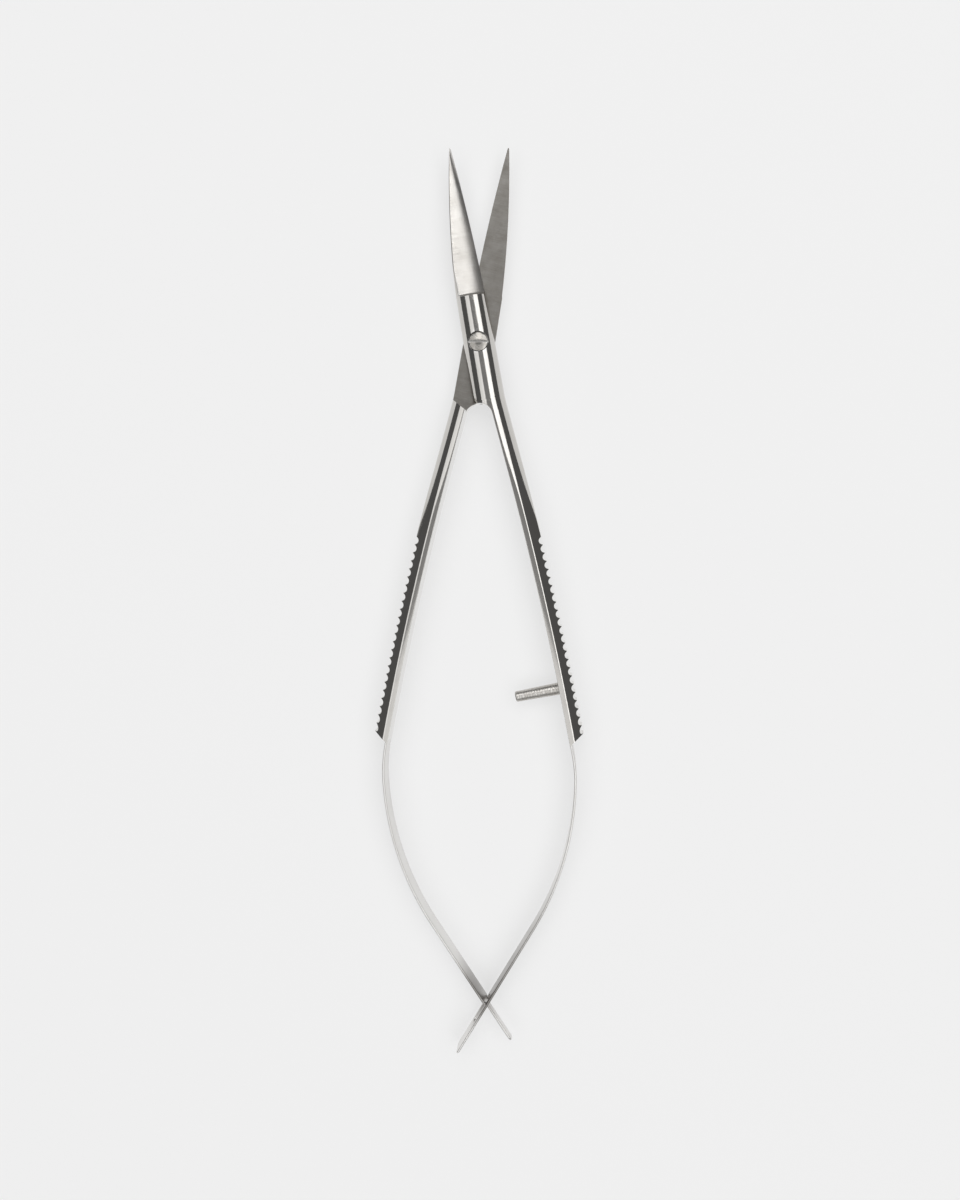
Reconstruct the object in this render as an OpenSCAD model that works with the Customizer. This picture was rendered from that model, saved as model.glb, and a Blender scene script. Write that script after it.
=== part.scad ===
// Squeeze-handle cuticle scissors of round steel bar.
// Two arms are alike: the rear arm is the front arm turned half a turn about the long axis.
// Each arm is drawn with its shank along +Y, the pivot at the centre and the lap plane at z = 0,
// which is how it lies when the tool is closed, and is then turned out by half the opening.

/* [Opening] */
// Turn of each arm away from the centre line when the tool is at rest
open_angle = 9.6; // [4:0.1:14]
// Gap between the two half-round shanks where they lap
lap_gap = 0.04; // [0.02:0.01:0.3]

/* [Blades] */
// Distance from the pivot to the blade tip
blade_reach = 25.1; // [18:0.1:34]
// Distance from the pivot to where the ground blade begins
blade_root = 5.9; // [3:0.1:9]
// Distance from the shank axis to the back edge at the blade root
back_offset = 1.9; // [1.5:0.05:2]
// Distance from the shank axis to the cutting edge at the blade root
edge_offset = 1.77; // [1.4:0.01:1.95]
// Slope of the back edge at the blade root
back_slope = 2.7; // [0:0.1:4]
// Radius of the long curve of the back edge
back_radius = 135; // [110:1:400]
// Slope of the cutting edge at the blade root
edge_slope = 1.6; // [0:0.1:3]
// Radius of the long curve of the cutting edge
edge_radius = 262; // [200:1:900]
// Thickness of the blade at its root
root_thickness = 1.3; // [0.8:0.05:1.7]
// Thickness of the blade at its tip
tip_thickness = 0.45; // [0.25:0.05:0.8]
// Crown radius of the blade face at its root
root_crown = 3.5; // [2.8:0.1:5]
// Crown radius of the blade face at its tip
tip_crown = 0.5; // [0.5:0.05:1.2]
// Distance of the crown's ridge from the shank axis at the root, towards the back edge
root_crown_offset = 0.9; // [0.5:0.05:1.2]
// Distance of the crown's ridge from the shank axis at the tip, towards the cutting edge
tip_crown_offset = 0.265; // [0.2:0.005:0.4]
// Radius of the grinding wheel that leaves the step at the blade root
wheel_radius = 1.5; // [0.8:0.1:3]

/* [Shank and crotch] */
// Radius of the round bar that the two halves make when closed
bar_radius = 2.1; // [1.9:0.05:2.5]
// Loss of radius from one straight length of the bar to the next
bar_taper = 0.01; // [0.01:0.01:0.05]
// Distance from the pivot to the elbow
elbow_distance = 7.6; // [6:0.1:11]
// Distance from the elbow to the middle of the crotch fillet
crotch_offset = 1.6; // [1:0.1:3]
// Radius of the crotch fillet
crotch_radius = 1.6; // [1:0.1:1.8]
// Slope of the heel below the square to the shank
heel_slope = 35.6; // [15:0.1:45]
// Length of the square end of the heel beside the fillet
heel_land = 0.2; // [0.05:0.05:0.6]
// Distance from the elbow to the inner end of the shoulder
shoulder_offset = 1.17; // [0.9:0.01:2]
// Slope of the shoulder below the square to the shank
shoulder_slope = 28.5; // [10:0.1:40]

/* [Handles] */
// Distance of the inner flat from the bar axis
flat_inset = 0.1; // [0.06:0.01:0.4]
// Turn of the handle from the shank at the elbow
handle_angle = 5.4; // [2:0.1:10]
// Length of the straight start of the handle
straight_length = 9; // [5:0.1:16]
// Length of the bowed and serrated part of the handle
bow_length = 34.4; // [28:0.1:50]
// Radius of the handle's bow
bow_radius = 450; // [300:5:1200]
// Slope of the cut at the handle's end
end_slope = 31; // [10:1:50]

/* [Serration] */
// Number of notches on each handle
notch_count = 24; // [4:1:26]
// Distance from notch to notch
notch_pitch = 1.05; // [0.9:0.01:1.2]
// Depth of a notch
notch_depth = 0.4; // [0.2:0.05:0.6]
// Radius of a notch
notch_radius = 0.48; // [0.35:0.01:0.5]
// Distance from the last notch to the handle's end
notch_margin = 0.5; // [0.3:0.1:3]

/* [Pivot screw] */
// Diameter of the screw head
head_diameter = 2.5; // [2:0.1:2.9]
// Radius of the low dome on the head
head_dome = 3.2; // [2.5:0.1:8]
// Thickness of the screw head
head_thickness = 1.2; // [0.8:0.1:1.4]
// Diameter of the screw's plain neck
neck_diameter = 1.7; // [1.2:0.1:1.9]
// Clearance round the neck and the head in the front arm
pivot_clearance = 0.05; // [0.03:0.01:0.1]
// Clearance round the neck in the rear arm, which holds it
seat_clearance = 0.01; // [0.01:0.01:0.03]
// Width of the screwdriver slot
slot_width = 0.32; // [0.2:0.02:0.6]
// Depth of the screwdriver slot below the head's crown
slot_depth = 0.6; // [0.3:0.05:0.8]
// Length of the screwdriver slot, which nicks the arm on both sides
slot_length = 3.1; // [2.6:0.1:3.6]
// Depth of the screw's flat end below the round of the rear arm
end_sink = 0.1; // [0.05:0.01:0.3]

/* [Stop pin] */
// Distance of the stop pin from the start of the bow
pin_distance = 28.5; // [14:0.1:32]
// Length of the pin that stands out of the handle
pin_length = 5.65; // [3:0.05:5.75]
// Length of the pin inside the handle
pin_seat = 1.2; // [0.8:0.1:1.4]
// Diameter of the pin at the handle
pin_diameter = 1.48; // [1:0.02:1.8]
// Diameter of the pin at its free end
pin_end_diameter = 1.27; // [0.8:0.01:1.4]
// Chamfer at the pin's free end
pin_chamfer = 0.12; // [0.05:0.01:0.25]

/* [Leaf springs] */
// Thickness of the spring strip
strip_thickness = 0.3; // [0.2:0.02:0.4]
// Width of the strip where it leaves the handle
strip_root_width = 3.9; // [3.6:0.1:4]
// Width of the strip at the crossing
strip_width = 3.2; // [2.6:0.1:3.6]
// Distance from the handle's end to the line about which the strip bends
bend_distance = 1.9; // [1.6:0.1:3]
// Step from the handle's inner flat out to the strip
strip_set = 0.02; // [0.01:0.01:0.1]
// Gap between the strip's fixed end and its free leaf
bend_gap = 0.04; // [0.02:0.01:0.1]
// Radius of the leaf's first curve
first_radius = 19; // [14:0.5:30]
// Turn of the leaf's first curve
first_turn = 13; // [8:0.5:16]
// Radius of the leaf's long curve
second_radius = 37; // [34:0.5:44]
// Turn of the leaf's long curve
second_turn = 30; // [26:0.5:32]
// Lean of both leaves to one side
leaf_lean = 1.4; // [0:0.1:2]
// Length of the slotted leaf past the crossing
slotted_tail = 6.5; // [5:0.1:9]
// Length of the tongue past the crossing
tongue_tail = 4.9; // [4:0.1:8]
// Width of the tongue
tongue_width = 1.3; // [0.8:0.1:1.5]
// Clearance on each side of the tongue in the slot
tongue_clearance = 0.2; // [0.1:0.05:0.4]
// Length of the slot before the crossing
slot_before = 1.5; // [1.2:0.1:2]
// Length of the slot past the crossing
slot_after = 2.5; // [2:0.1:3.5]
// Distance from the tongue's shoulders to the crossing
tongue_shoulder = 0.7; // [0.5:0.1:1]

/* [Hidden] */
$fn = 64;
far = 12;
overlap = 1;
curve_steps = 12;
tip_steps = 4;
fillet_steps = 8;
nose_steps = 6;
leaf_steps = 16;
notch_fn = 32;
bow_parts = 3;

// Directions across and down a stretch whose normal is turned by angle a from +X
function across(a) = [cos(a), sin(a)];
function down(a) = [sin(a), -cos(a)];
function turned(p, a) = [p.x * cos(a) - p.y * sin(a), p.x * sin(a) + p.y * cos(a)];
function spread(a, b, steps) = [for (i = [0 : steps]) a + (b - a) * i / steps];

// Blade outline: two long curves and a round tip
function back_x(y) = -back_offset + tan(back_slope) * (y - blade_root)
    + pow(y - blade_root, 2) / (2 * back_radius);
function edge_x(y) = edge_offset - tan(edge_slope) * (y - blade_root)
    - pow(y - blade_root, 2) / (2 * edge_radius);
tip_width = edge_x(blade_reach) - back_x(blade_reach);
tip_base = blade_reach - tip_width / 2;
tip_radius = (edge_x(tip_base) - back_x(tip_base)) / 2;
tip_centre = [(edge_x(tip_base) + back_x(tip_base)) / 2, tip_base];
crown_root = [-root_crown_offset, blade_root, root_thickness - root_crown];
crown_tip = [tip_crown_offset, blade_reach, tip_thickness - tip_crown];

// Elbow, straight stretch and bow of the bar axis
elbow = [0, -elbow_distance];
flat_line = function(s) elbow + s * down(handle_angle) + flat_inset * across(handle_angle);
bow_start = elbow + straight_length * down(handle_angle);
function bow_angle(s) = handle_angle - s / bow_radius * 180 / PI;
bend_at = bow_length + bend_distance;
part_length = bend_at / bow_parts;
function part_angle(i) = bow_angle((i + 0.5) * part_length);
function bow_joint(i) = i == 0 ? bow_start
    : bow_joint(i - 1) + part_length * down(part_angle(i - 1));
function part_of(s) = min(floor(s / part_length), bow_parts - 1);
function on_bow(s, x) = bow_joint(part_of(s)) + x * across(part_angle(part_of(s)))
    + (s - part_of(s) * part_length) * down(part_angle(part_of(s)));
cut_run = (bar_radius - flat_inset) * tan(end_slope);
crotch_centre = flat_line(crotch_offset) - crotch_radius * across(handle_angle);
heel_bottom = crotch_centre.y + crotch_radius;
shoulder_in = flat_line(shoulder_offset);

// Line about which the leaf bends, and the joints of its two curves
strip_middle = flat_inset + strip_set + strip_thickness / 2;
bend_line = on_bow(bend_at, strip_middle);
bend_angle = part_angle(bow_parts - 1);
function first_centre(a) = bend_line - first_radius * across(a);
function first_end(a) = first_centre(a) + first_radius * across(a - first_turn);
function second_centre(a) = first_end(a) - second_radius * across(a - first_turn);
function leaf_angle(a) = a - first_turn - second_turn;
function second_end(a) = second_centre(a) + second_radius * across(leaf_angle(a));
slotted_start = bend_angle + leaf_lean;
tongue_start = bend_angle - leaf_lean;

// Crossing of the two straight tails, found in the frame of the whole tool
slotted_from = turned(second_end(slotted_start), open_angle);
slotted_way = down(leaf_angle(slotted_start) + open_angle);
tongue_from_side = turned(second_end(tongue_start), open_angle);
tongue_way_side = down(leaf_angle(tongue_start) + open_angle);
tongue_from = [-tongue_from_side.x, tongue_from_side.y];
tongue_way = [-tongue_way_side.x, tongue_way_side.y];
way_cross = slotted_way.x * tongue_way.y - slotted_way.y * tongue_way.x;
between = tongue_from - slotted_from;
slotted_run = (between.x * tongue_way.y - between.y * tongue_way.x) / way_cross;
tongue_run = (between.x * slotted_way.y - between.y * slotted_way.x) / way_cross;
slotted_length = slotted_run + slotted_tail;
tongue_length = tongue_run + tongue_tail;

// Place of the whole tool: the middle of its length at y = 0 and its lowest round at z = 0
tail_corner = slotted_from + slotted_length * slotted_way
    - strip_thickness / 2 * across(leaf_angle(slotted_start) + open_angle);
top_y = turned(tip_centre, open_angle).y + tip_radius;
pivot_y = -(top_y + tail_corner.y) / 2;
lap_z = bar_radius;

// Screw heights, measured from the lap plane
head_seat = bar_radius - head_thickness;
slot_floor = bar_radius - slot_depth;

module placed() {
    translate([0, pivot_y, lap_z]) children();
}

// Turns a front piece from the closed frame into the tool at rest
module front_side() {
    placed() rotate([0, 0, open_angle]) children();
}

// The same for a rear piece: half a turn about the long axis
module rear_side() {
    placed() rotate([0, 180, 0]) rotate([0, 0, open_angle]) children();
}

module blade_outline() {
    root_lap = 0.4;
    linear_extrude(far) polygon(concat(
        [for (y = spread(blade_root - root_lap, tip_base, curve_steps)) [back_x(y), y]],
        [for (a = spread(150, 30, tip_steps)) tip_centre + tip_radius * [cos(a), sin(a)]],
        [for (y = spread(tip_base, blade_root - root_lap, curve_steps)) [edge_x(y), y]]
    ));
}

// Crowned blade face: a cone that leans down and narrows towards the tip
module crown_cone() {
    way = crown_tip - crown_root;
    lead = 0.1;
    length = norm(way) * (1 + 2 * lead);
    radius_step = (tip_crown - root_crown) * lead;
    translate(crown_root - way * lead)
        rotate([-90 + atan(way.z / way.y), 0, -atan(way.x / way.y)])
        cylinder(h = length, r1 = root_crown - radius_step, r2 = tip_crown + radius_step);
}

// Half-round bar that runs on into the blade, hollowed by the grinding wheel
module ground_root() {
    difference() {
        translate([0, blade_root + wheel_radius, 0]) rotate([90, 0, 0])
            cylinder(h = wheel_radius + overlap, r = bar_radius);
        translate([-far / 2, blade_root + wheel_radius, root_thickness + wheel_radius])
            rotate([0, 90, 0]) cylinder(h = far, r = wheel_radius);
    }
}

module blade() {
    intersection() {
        translate([0, 0, lap_gap / 2]) blade_outline();
        translate([0, blade_reach + overlap, 0]) rotate([90, 0, 0])
            cylinder(h = blade_reach, r = bar_radius);
        union() {
            crown_cone();
            ground_root();
        }
    }
}

// Corners of the bent bar axis, from the blade root to the bend line, and the angles there
axis_points = concat([[0, blade_root], elbow], [for (i = [0 : bow_parts]) bow_joint(i)]);
axis_angles = concat([0, handle_angle], [for (i = [0 : bow_parts - 1]) part_angle(i)]);
function mitre_angle(i) = i == 0 ? 0 : i == len(axis_angles) ? axis_angles[i - 1]
    : (axis_angles[i - 1] + axis_angles[i]) / 2;
function mitre_end(i, side) = axis_points[i] + side * far * across(mitre_angle(i))
    / cos(mitre_angle(i) - axis_angles[min(i, len(axis_angles) - 1)]);

function length_radius(i) = bar_radius - i * bar_taper;
function handle_radius(s) = length_radius(2 + part_of(s));

// One straight length of round bar, mitred to its neighbours
module bar_length(i) {
    run = norm(axis_points[i + 1] - axis_points[i]);
    intersection() {
        translate(concat(axis_points[i] - overlap * down(axis_angles[i]), 0))
            rotate([90, 0, axis_angles[i]]) cylinder(h = run + 2 * overlap, r = length_radius(i));
        translate([0, 0, -far]) linear_extrude(2 * far) polygon([
            mitre_end(i, -1), mitre_end(i, 1), mitre_end(i + 1, 1), mitre_end(i + 1, -1)
        ]);
    }
}

// Corners of the inner flat below the shoulder, at the middle of each straight length
flat_half = straight_length / 2;
flat_points = concat([flat_line(flat_half)],
    [for (i = [0 : bow_parts - 1]) on_bow((i + 0.5) * part_length, flat_inset)]);
flat_end = on_bow(bend_at + overlap, flat_inset);

// Plan of the lapped half, with the heel and the crotch fillet
module lap_plan() {
    heel_x = crotch_centre.x - heel_land;
    polygon(concat(
        [[-far, far], [far, far], flat_line(flat_half / 2) + [far, 0],
            flat_line(flat_half / 2)],
        [for (a = spread(handle_angle, 90, fillet_steps)) crotch_centre + crotch_radius * across(a)],
        [[heel_x, heel_bottom], [-far, heel_bottom + (far + heel_x) * tan(heel_slope)]]
    ));
}

// Plan of the outer half below the shoulder
module outer_plan() {
    polygon(concat([shoulder_in], flat_points, [flat_end, flat_end + [2 * far, 0],
        [2 * far, shoulder_in.y + (2 * far - shoulder_in.x) * tan(shoulder_slope)]]));
}

module split_bar() {
    intersection() {
        union() for (i = [0 : len(axis_angles) - 1]) bar_length(i);
        union() {
            translate([0, 0, lap_gap / 2]) linear_extrude(far) lap_plan();
            translate([0, 0, -far]) linear_extrude(2 * far) outer_plan();
        }
    }
}

module notches() {
    for (i = [0 : notch_count - 1]) {
        s = bow_length - notch_margin - i * notch_pitch;
        reach = handle_radius(s) - notch_depth + notch_radius;
        translate(concat(on_bow(s, reach), -far / 2))
            cylinder(h = far, r = notch_radius, $fn = notch_fn);
    }
}

// Slanting cut that leaves only the spring strip standing past the handle's end
module end_cut() {
    translate(concat(on_bow(bow_length, handle_radius(bow_length)), 0))
        rotate([0, 0, bend_angle + end_slope]) translate([-2 * far, -far, -far / 2])
        cube([4 * far, far, far]);
}

module strip_stub() {
    stub_end = bend_at - strip_thickness / 2 - bend_gap;
    translate(concat(on_bow(bow_length - overlap, flat_inset + strip_set), 0))
        rotate([0, 0, bend_angle])
        translate([0, bow_length - overlap - stub_end, -strip_root_width / 2])
        cube([strip_thickness, stub_end - bow_length + overlap, strip_root_width]);
}

module arm_blank() {
    blade();
    difference() {
        split_bar();
        notches();
        end_cut();
    }
    strip_stub();
}

module screw_slot() {
    translate([-slot_length / 2, -slot_width / 2, slot_floor])
        cube([slot_length, slot_width, far]);
}

module pin_place() {
    translate(concat(on_bow(pin_distance, flat_inset), 0))
        rotate([0, 0, part_angle(part_of(pin_distance))]) rotate([0, -90, 0]) children();
}

module front_arm() {
    color("silver") front_side() difference() {
        arm_blank();
        translate([0, 0, -far / 2]) cylinder(h = far, d = neck_diameter + 2 * pivot_clearance);
        translate([0, 0, head_seat]) cylinder(h = far, d = head_diameter + 2 * pivot_clearance);
        rotate([0, 0, -open_angle]) screw_slot();
        pin_place() translate([0, 0, -pin_seat])
            cylinder(h = pin_seat + overlap, d = pin_diameter + 2 * seat_clearance);
    }
}

module rear_arm() {
    color("silver") rear_side() difference() {
        arm_blank();
        translate([0, 0, -far / 2]) cylinder(h = far, d = neck_diameter + 2 * seat_clearance);
    }
}

module pivot_screw() {
    seat_lift = 0.02;
    neck_lap = 0.1;
    end_z = -bar_radius + end_sink;
    color("gray") placed() difference() {
        union() {
            translate([0, 0, end_z]) cylinder(h = head_seat - end_z + neck_lap, d = neck_diameter);
            intersection() {
                translate([0, 0, head_seat + seat_lift])
                    cylinder(h = head_thickness, d = head_diameter);
                translate([0, 0, bar_radius - head_dome]) sphere(r = head_dome);
            }
        }
        screw_slot();
    }
}

module stop_pin() {
    end_clearance = 0.05;
    root = pin_seat - end_clearance;
    color("gray") front_side() pin_place() {
        translate([0, 0, -root]) cylinder(h = root, d = pin_diameter);
        cylinder(h = pin_length - pin_chamfer, d1 = pin_diameter, d2 = pin_end_diameter);
        translate([0, 0, pin_length - pin_chamfer]) cylinder(h = pin_chamfer,
            d1 = pin_end_diameter, d2 = pin_end_diameter - 2 * pin_chamfer);
    }
}

// Points along one face of the leaf, at distance x outside its middle
function leaf_face(a, x) = concat(
    [for (b = spread(a, a - first_turn, leaf_steps))
        first_centre(a) + (first_radius + x) * across(b)],
    [for (b = spread(a - first_turn, leaf_angle(a), leaf_steps))
        if (b < a - first_turn) second_centre(a) + (second_radius + x) * across(b)]
);

// Plan of a leaf: a round nose on the bend line, two curves and the straight tail
module leaf_plan(a, length) {
    half = strip_thickness / 2;
    tail_end = second_end(a) + length * down(leaf_angle(a));
    inner = leaf_face(a, -half);
    outer = leaf_face(a, half);
    polygon(concat(
        [for (b = spread(a, a + 180, nose_steps)) bend_line + half * across(b)],
        [for (i = [1 : len(inner) - 1]) inner[i]],
        [tail_end - half * across(leaf_angle(a)), tail_end + half * across(leaf_angle(a))],
        [for (i = [len(outer) - 1 : -1 : 1]) outer[i]]
    ));
}

// Wedge above the strip that narrows it evenly from its root to the end of its curves
module side_wedge(a) {
    root_half = strip_root_width / 2;
    end_half = strip_width / 2;
    end_y = second_end(a).y;
    tail_y = end_y - 3 * far;
    rotate([0, -90, 0]) translate([0, 0, -2 * far]) linear_extrude(4 * far) polygon([
        [root_half, bend_line.y], [end_half, end_y], [end_half, tail_y],
        [far, tail_y], [far, bend_line.y]
    ]);
}

// Frame of the straight tail: the strip runs down -Y from the end of the second curve
module tail_place(a) {
    translate(concat(second_end(a), 0)) rotate([0, 0, leaf_angle(a)]) children();
}

module leaf_blank(a, length) {
    difference() {
        translate([0, 0, -strip_root_width / 2]) linear_extrude(strip_root_width)
            leaf_plan(a, length);
        side_wedge(a);
        mirror([0, 0, 1]) side_wedge(a);
    }
}

module slotted_spring() {
    slot_half = tongue_width / 2 + tongue_clearance;
    color("silver") front_side() difference() {
        leaf_blank(slotted_start, slotted_length);
        tail_place(slotted_start) translate([-far / 2, -slotted_run - slot_after, -slot_half])
            cube([far, slot_before + slot_after, 2 * slot_half]);
    }
}

module tongue_spring() {
    shoulder_at = tongue_run - tongue_shoulder;
    color("silver") rear_side() difference() {
        leaf_blank(tongue_start, tongue_length);
        tail_place(tongue_start) for (side = [0, 1]) mirror([0, 0, side])
            translate([-far / 2, -shoulder_at - far, tongue_width / 2]) cube(far);
    }
}

rear_arm();
front_arm();
pivot_screw();
stop_pin();
slotted_spring();
tongue_spring();
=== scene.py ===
"""Squeeze-handle cuticle scissors of round steel bar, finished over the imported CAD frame."""

import bmesh
import bpy
import numpy as np
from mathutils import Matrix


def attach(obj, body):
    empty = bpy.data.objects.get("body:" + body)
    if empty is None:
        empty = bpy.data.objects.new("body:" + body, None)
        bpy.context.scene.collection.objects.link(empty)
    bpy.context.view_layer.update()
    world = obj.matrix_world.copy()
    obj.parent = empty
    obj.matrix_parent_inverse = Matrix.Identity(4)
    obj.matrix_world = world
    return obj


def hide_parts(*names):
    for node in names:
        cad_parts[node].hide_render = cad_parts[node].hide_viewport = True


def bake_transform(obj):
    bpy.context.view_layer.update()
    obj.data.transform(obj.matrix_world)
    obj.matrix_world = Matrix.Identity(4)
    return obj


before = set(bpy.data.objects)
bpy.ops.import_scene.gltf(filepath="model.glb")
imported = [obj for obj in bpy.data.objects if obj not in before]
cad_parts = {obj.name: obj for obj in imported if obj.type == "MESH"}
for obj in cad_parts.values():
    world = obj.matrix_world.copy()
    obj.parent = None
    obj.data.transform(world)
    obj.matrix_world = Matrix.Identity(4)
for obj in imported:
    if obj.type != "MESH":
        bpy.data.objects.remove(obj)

bl_info = {
    "name": "Cuticle scissors",
    "version": (1, 0, 0),
    "blender": (4, 5, 0),
    "location": "View3D > Sidebar > Scissors",
    "description": "Builds the steel pieces, their finishes and the studio around them",
    "category": "Object",
}

MM = 0.001

# Sizes in millimetres and turns in degrees. Distances along an arm run from the pivot to the
# tail, and distances across it from the bar's axis to the outer side. NO_LIMIT is a reach
# that limits nothing.
NO_LIMIT = 9.0
MERGE_DISTANCE = 0.0015
FLAT_DISTANCE = 0.0005
OPEN_ANGLE = 9.6
PIVOT_Y = 32.7502
LAP_Z = 2.1
LAP_HALF = 0.02
AXIS_BEYOND = 50.0
AXIS_POINTS = 9001

# The blade. Its edges are given by offset at the root, slope there and radius of their curve.
# Pairs hold the value at the root and at the tip.
BLADE_REACH = 25.1
BLADE_ROOT = 5.9
BACK_CURVE = (1.9, 2.7, 135.0)
EDGE_CURVE = (1.77, 1.6, 262.0)
TIP_RUN = 0.6
TIP_LEAST = 1e-5
FACE_THICKNESS = (1.27, 0.42)
FACE_POWER = (3.2, 2.6)
FACE_EVEN = 0.3
BEVEL_WIDTH = (0.13, 0.08)
BEVEL_SLOPE = 0.75
EDGE_LAND = 0.04
LEAST_THICKNESS = 0.03
STEP_RUN = 0.45
STEP_RISE = 1.2
ROOT_RUN = 0.7
BACK_SPREAD = 0.06
EDGE_SPREAD = 0.19
BLADE_ROUND = 0.02

# The bar, its heel, crotch and shoulder
BAR_RADIUS = 2.1
SHANK_TAPER = 0.14
HANDLE_TAPER = 0.04
TAPER_RUN = 44.0
ELBOW = 7.6
ELBOW_HALF = 0.6
HEEL_START = 7.31
HEEL_RISE = 0.4
CROTCH_MIDDLE = 9.2
CROTCH_RADIUS = 1.6
SHOULDER_START = 7.83
SHOULDER_RUN = 0.94
EDGE_ROUND = 0.05

# The handle. Its pressed top is given by distances across it and the slope at each.
HANDLE_ANGLE = 5.4
BOW_START = 16.6
BOW_LENGTH = 34.4
BOW_END = BOW_START + BOW_LENGTH
BOW_RADIUS = 450.0
PLAIN_BOW = 9.0
FLAT_INSET = 0.1
PRESS_START = 11.0
PRESS_RUN = 14.0
PRESSED_HEIGHT = 2.06
FACET_ACROSS = (0.0, 0.12, 0.16, 0.7, 0.74, 0.79, 0.83, 2.2)
FACET_SLOPE = (-8.0, -8.0, -4.0, 4.0, 8.0, 24.0, 29.0, 43.0)
END_SLOPE = 31.0
END_RUN = 3.0

# The serration
NOTCH_COUNT = 24
NOTCH_PITCH = 1.05
NOTCH_DEPTH = 0.4
NOTCH_RADIUS = 0.48
NOTCH_SPREAD = 0.474
LAST_NOTCH = BOW_END - 0.5

# Points kept on the six parts of a section, and the lead at both ends of each part as a
# multiple of the corner's rounding
PART_POINTS = (5, 48, 7, 30, 5, 9)
CORNER_LEAD = 1.4
ROUND_SAMPLES = 2400

# The leaf springs. The pair holds the width at the bend line and at the crossing.
BEND_DISTANCE = 1.9
LEAF_OFFSET = 0.17
LEAF_LEAD = 2.6
LEAD_EASE = 0.8
FIRST_RADIUS = 19.0
FIRST_TURN = 13.0
SECOND_RADIUS = 37.0
SECOND_TURN = 30.0
CURVES = FIRST_RADIUS * np.radians(FIRST_TURN) + SECOND_RADIUS * np.radians(SECOND_TURN)
LEAF_LEAN = 1.4
LEAF_WIDTH = (3.9, 3.2)
LEAF_ROUND = 0.42
SLOTTED_RUN = 11.97
SLOTTED_TAIL = 6.5
SLOTTED_END = (0.25, 0.5)
TONGUE_RUN = 12.65
TONGUE_TAIL = 4.9
TONGUE_END = (0.3, 0.4)
TONGUE_WIDTH = 1.3
TONGUE_SHOULDER = 0.7
SHOULDER_ROUND = 0.35
SLOT_BEFORE = 1.5
SLOT_AFTER = 2.5
SLOT_WIDTH = 1.7
SLOT_CORNER = 0.35
SLOT_REACH = 1.5

# The screw, with heights over the lap. The head's round is given by loss of radius and drop
# below the edge of its dome.
AXLE = 0.02
NECK_RADIUS = 0.85
NECK_HOLES = {"rear_arm": 0.86, "front_arm": 0.9}
NECK_CHAMFER = 0.05
SCREW_END = -2.0
HEAD_SEAT = 0.9
HEAD_BASE = 0.92
HEAD_CLEARANCE = 0.05
HEAD_DOME = 3.2
HEAD_ROUND = ((0.0, 0.08), (0.02, 0.03))
HEAD_INSET = 0.06
CUT_HALF = 3.0
CUT_TOP = 4.0
DRIVER_SLOT_WIDTH = 0.32
DRIVER_SLOT_FLOOR = 1.5
DRIVER_SLOT_TOP = 5.5
DRIVER_SLOT_IN_ARM = 3.1
DRIVER_SLOT_IN_HEAD = 3.0

# The stop pin. Its waves are given by radians per millimetre and a start.
PIN_DISTANCE = 28.5
PIN_LENGTH = 5.65
PIN_SEAT = 1.1
PIN_RADIUS = 0.78
PIN_TAPER = 0.105
PIN_CHAMFER_START = 5.53
PIN_CHAMFER_SLOPE = 0.9
PIN_TURNED = (0.2, 5.4)
PIN_WAVES = ((19.0, 0.0), (31.0, 1.0))
PIN_WAVE_HEIGHT = 0.008
PIN_WAVE_DEPTH = 0.012

# The finishes. Stretch is noise cells per metre across, along and above the arm, turns are in
# radians, and the painted shade bands are start, darkest place and end along the leaf, in metres.
FINISHES = {
    "polished_bar": dict(stretch=(9000.0, 120.0, 9000.0), turn=0.0, roughness=(0.07, 0.13),
                         bump=0.08, mottle=0.3, cloud_size=420.0, scratch_turn=0.12,
                         scratch_spread=0.01, scratch_depth=0.35),
    "ground_blade": dict(stretch=(260.0, 3200.0, 260.0), turn=0.0, roughness=(0.28, 0.4),
                         bump=0.9, mottle=0.55, cloud_size=300.0, scratch_turn=1.55,
                         scratch_spread=0.02, scratch_depth=0.25),
    "ground_flat": dict(stretch=(500.0, 7000.0, 500.0), turn=0.12, roughness=(0.36, 0.5),
                        bump=0.5, mottle=0.85, cloud_size=600.0, scratch_turn=1.35,
                        scratch_spread=0.03, scratch_depth=0.4),
    "spring_steel": dict(stretch=(900.0, 60.0, 900.0), turn=0.0, roughness=(0.28, 0.36),
                         bump=0.03, mottle=0.15, cloud_size=260.0, scratch_turn=0.1,
                         scratch_spread=0.006, scratch_depth=0.3),
    "screw_steel": dict(stretch=(2600.0, 2600.0, 0.0), turn=0.0, roughness=(0.14, 0.26),
                        bump=0.6, mottle=1.0, cloud_size=1500.0, scratch_turn=0.7,
                        scratch_spread=0.05, scratch_depth=0.8),
    "pin_steel": dict(stretch=(2600.0, 2200.0, 2200.0), turn=0.0, roughness=(0.3, 0.42),
                      bump=1.0, mottle=0.9, cloud_size=1300.0, scratch_turn=1.5,
                      scratch_spread=0.03, scratch_depth=0.6),
}
FINISH_MARGIN = 0.2
FACE_UP = 0.3
LAP_DOWN = -0.9
LAP_BAND = (-0.05, 0.1)
LAP_END = 10.0
FOLD_START = 10.0
FOLD_RUN = 30.0
# Painted shade: each spring leaf's colour is darkened in a band along it, darkest towards the
# crossing of the two leaves
SLOTTED_PAINTED_SHADE = (0.066, 0.084, 0.0875)
TONGUE_PAINTED_SHADE = (0.0775, 0.0815, 0.0865)
PAINTED_SHADE_COLOUR = (0.36, 0.35, 0.34, 1.0)
WORN_COLOUR = (0.86, 0.85, 0.83, 1.0)
WORN_SHARE = 0.6
DARK_TINT = 0.62 * np.array([1.04, 0.99, 0.93])
TONE_WEIGHT = 0.7
TONE_BAND = (0.45, 0.95)
CLOUD_BAND = (0.3, 0.7)
NOISE_ROUGHNESS = 0.6
COARSE_SCALE = 0.23
COARSE_SHARE = 0.6
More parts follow.
